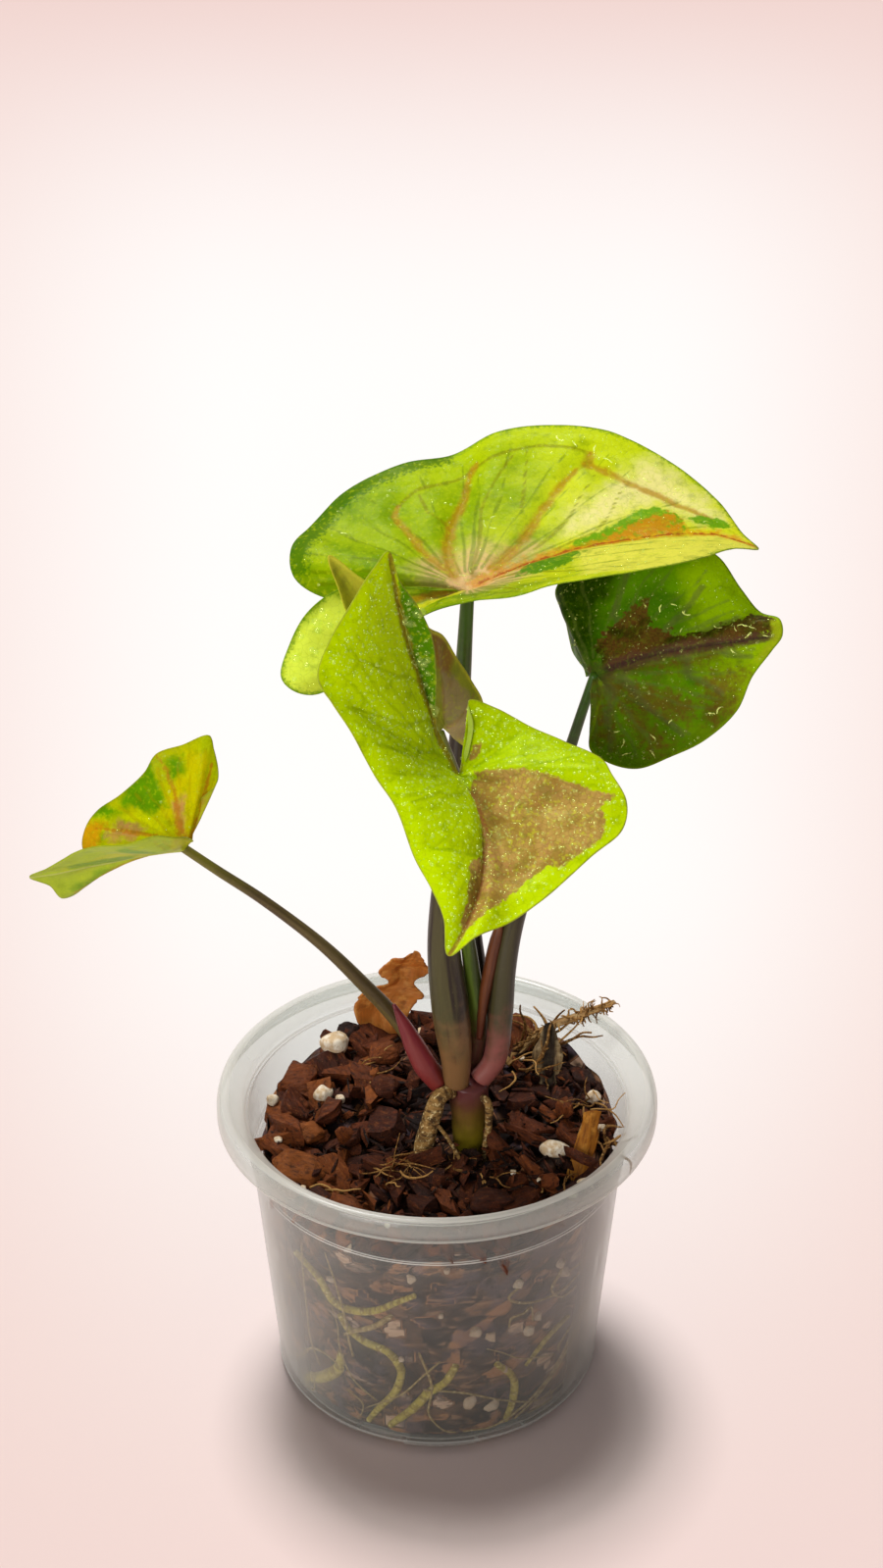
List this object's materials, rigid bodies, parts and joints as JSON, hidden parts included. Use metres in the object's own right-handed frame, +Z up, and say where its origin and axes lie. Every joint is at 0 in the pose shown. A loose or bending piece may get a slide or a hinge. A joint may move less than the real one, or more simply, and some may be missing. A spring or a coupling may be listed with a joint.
{
  "type": "potted brown lava syngonium",
  "caption": "Young arrowhead plant with marbled lime, green and brown leaves on one stem, standing in a translucent round nursery tub of chunky bark mix.",
  "frame": {"origin": "centre of the tub's flat base, on the surface it stands on", "axes": "+Z up along the tub's axis, -Y towards the picture's viewer, +X to the viewer's right"},
  "size_m": [0.1748, 0.1332, 0.2429],
  "materials": {
    "pot_plastic": "translucent milky polypropylene, gloss",
    "leaf_lime": "waxy leaf, wet, satin",
    "leaf_dark": "waxy leaf, wet, satin",
    "leaf_yellow": "waxy leaf, satin",
    "petiole": "smooth leaf stalk, satin",
    "crown": "smooth maroon stem, satin",
    "sheath_crimson": "smooth sheath leaf, satin",
    "dry_tissue": "dry leaf and sheath, matte",
    "straw": "dry husk and fibre, matte",
    "root": "living root, satin",
    "root_dry": "dry knobbly root, matte",
    "bark": "broken pine bark, matte",
    "mix": "fine bark mix, matte",
    "perlite": "foamed mineral crumb, matte"
  },
  "bodies": {
    "root": {"pot": "pot_plastic", "stem": "crown", "petiole_top": "petiole", "petiole_right": "petiole", "petiole_left": "petiole", "petiole_front": "petiole", "petiole_young": "petiole", "blade_top": "leaf_lime", "blade_front": "leaf_lime", "blade_right": "leaf_dark", "blade_left": "leaf_yellow", "blade_young": "leaf_yellow", "cataphyll": "sheath_crimson", "sheath_right": "dry_tissue", "aerial_root": "root_dry", "side_root": "root_dry", "thread_root": "root_dry", "wall_root_1": "root", "wall_root_2": "root", "wall_root_3": "root", "wall_root_4": "root", "wall_root_5": "root", "wall_root_6": "root", "bark_disc": "bark", "bark_block_left": "bark", "bark_block_tan": "bark", "bark_grained": "bark", "bark_stick": "bark", "bark_centre_left": "bark", "bark_back": "bark", "bark_back_right": "bark", "bark_dark_back": "bark", "bark_dark_right": "bark", "bark_red_right": "bark", "bark_front": "bark", "bark_front_slip": "bark", "bark_front_left": "bark", "perlite_large": "perlite", "perlite_small": "perlite", "perlite_right": "perlite", "perlite_grey": "perlite", "perlite_edge": "perlite", "perlite_rim": "perlite", "dry_leaf": "dry_tissue", "dry_leaf_right": "dry_tissue", "husk": "straw", "fibre_strip": "straw", "substrate": "mix"}
  },
  "joints": []
}
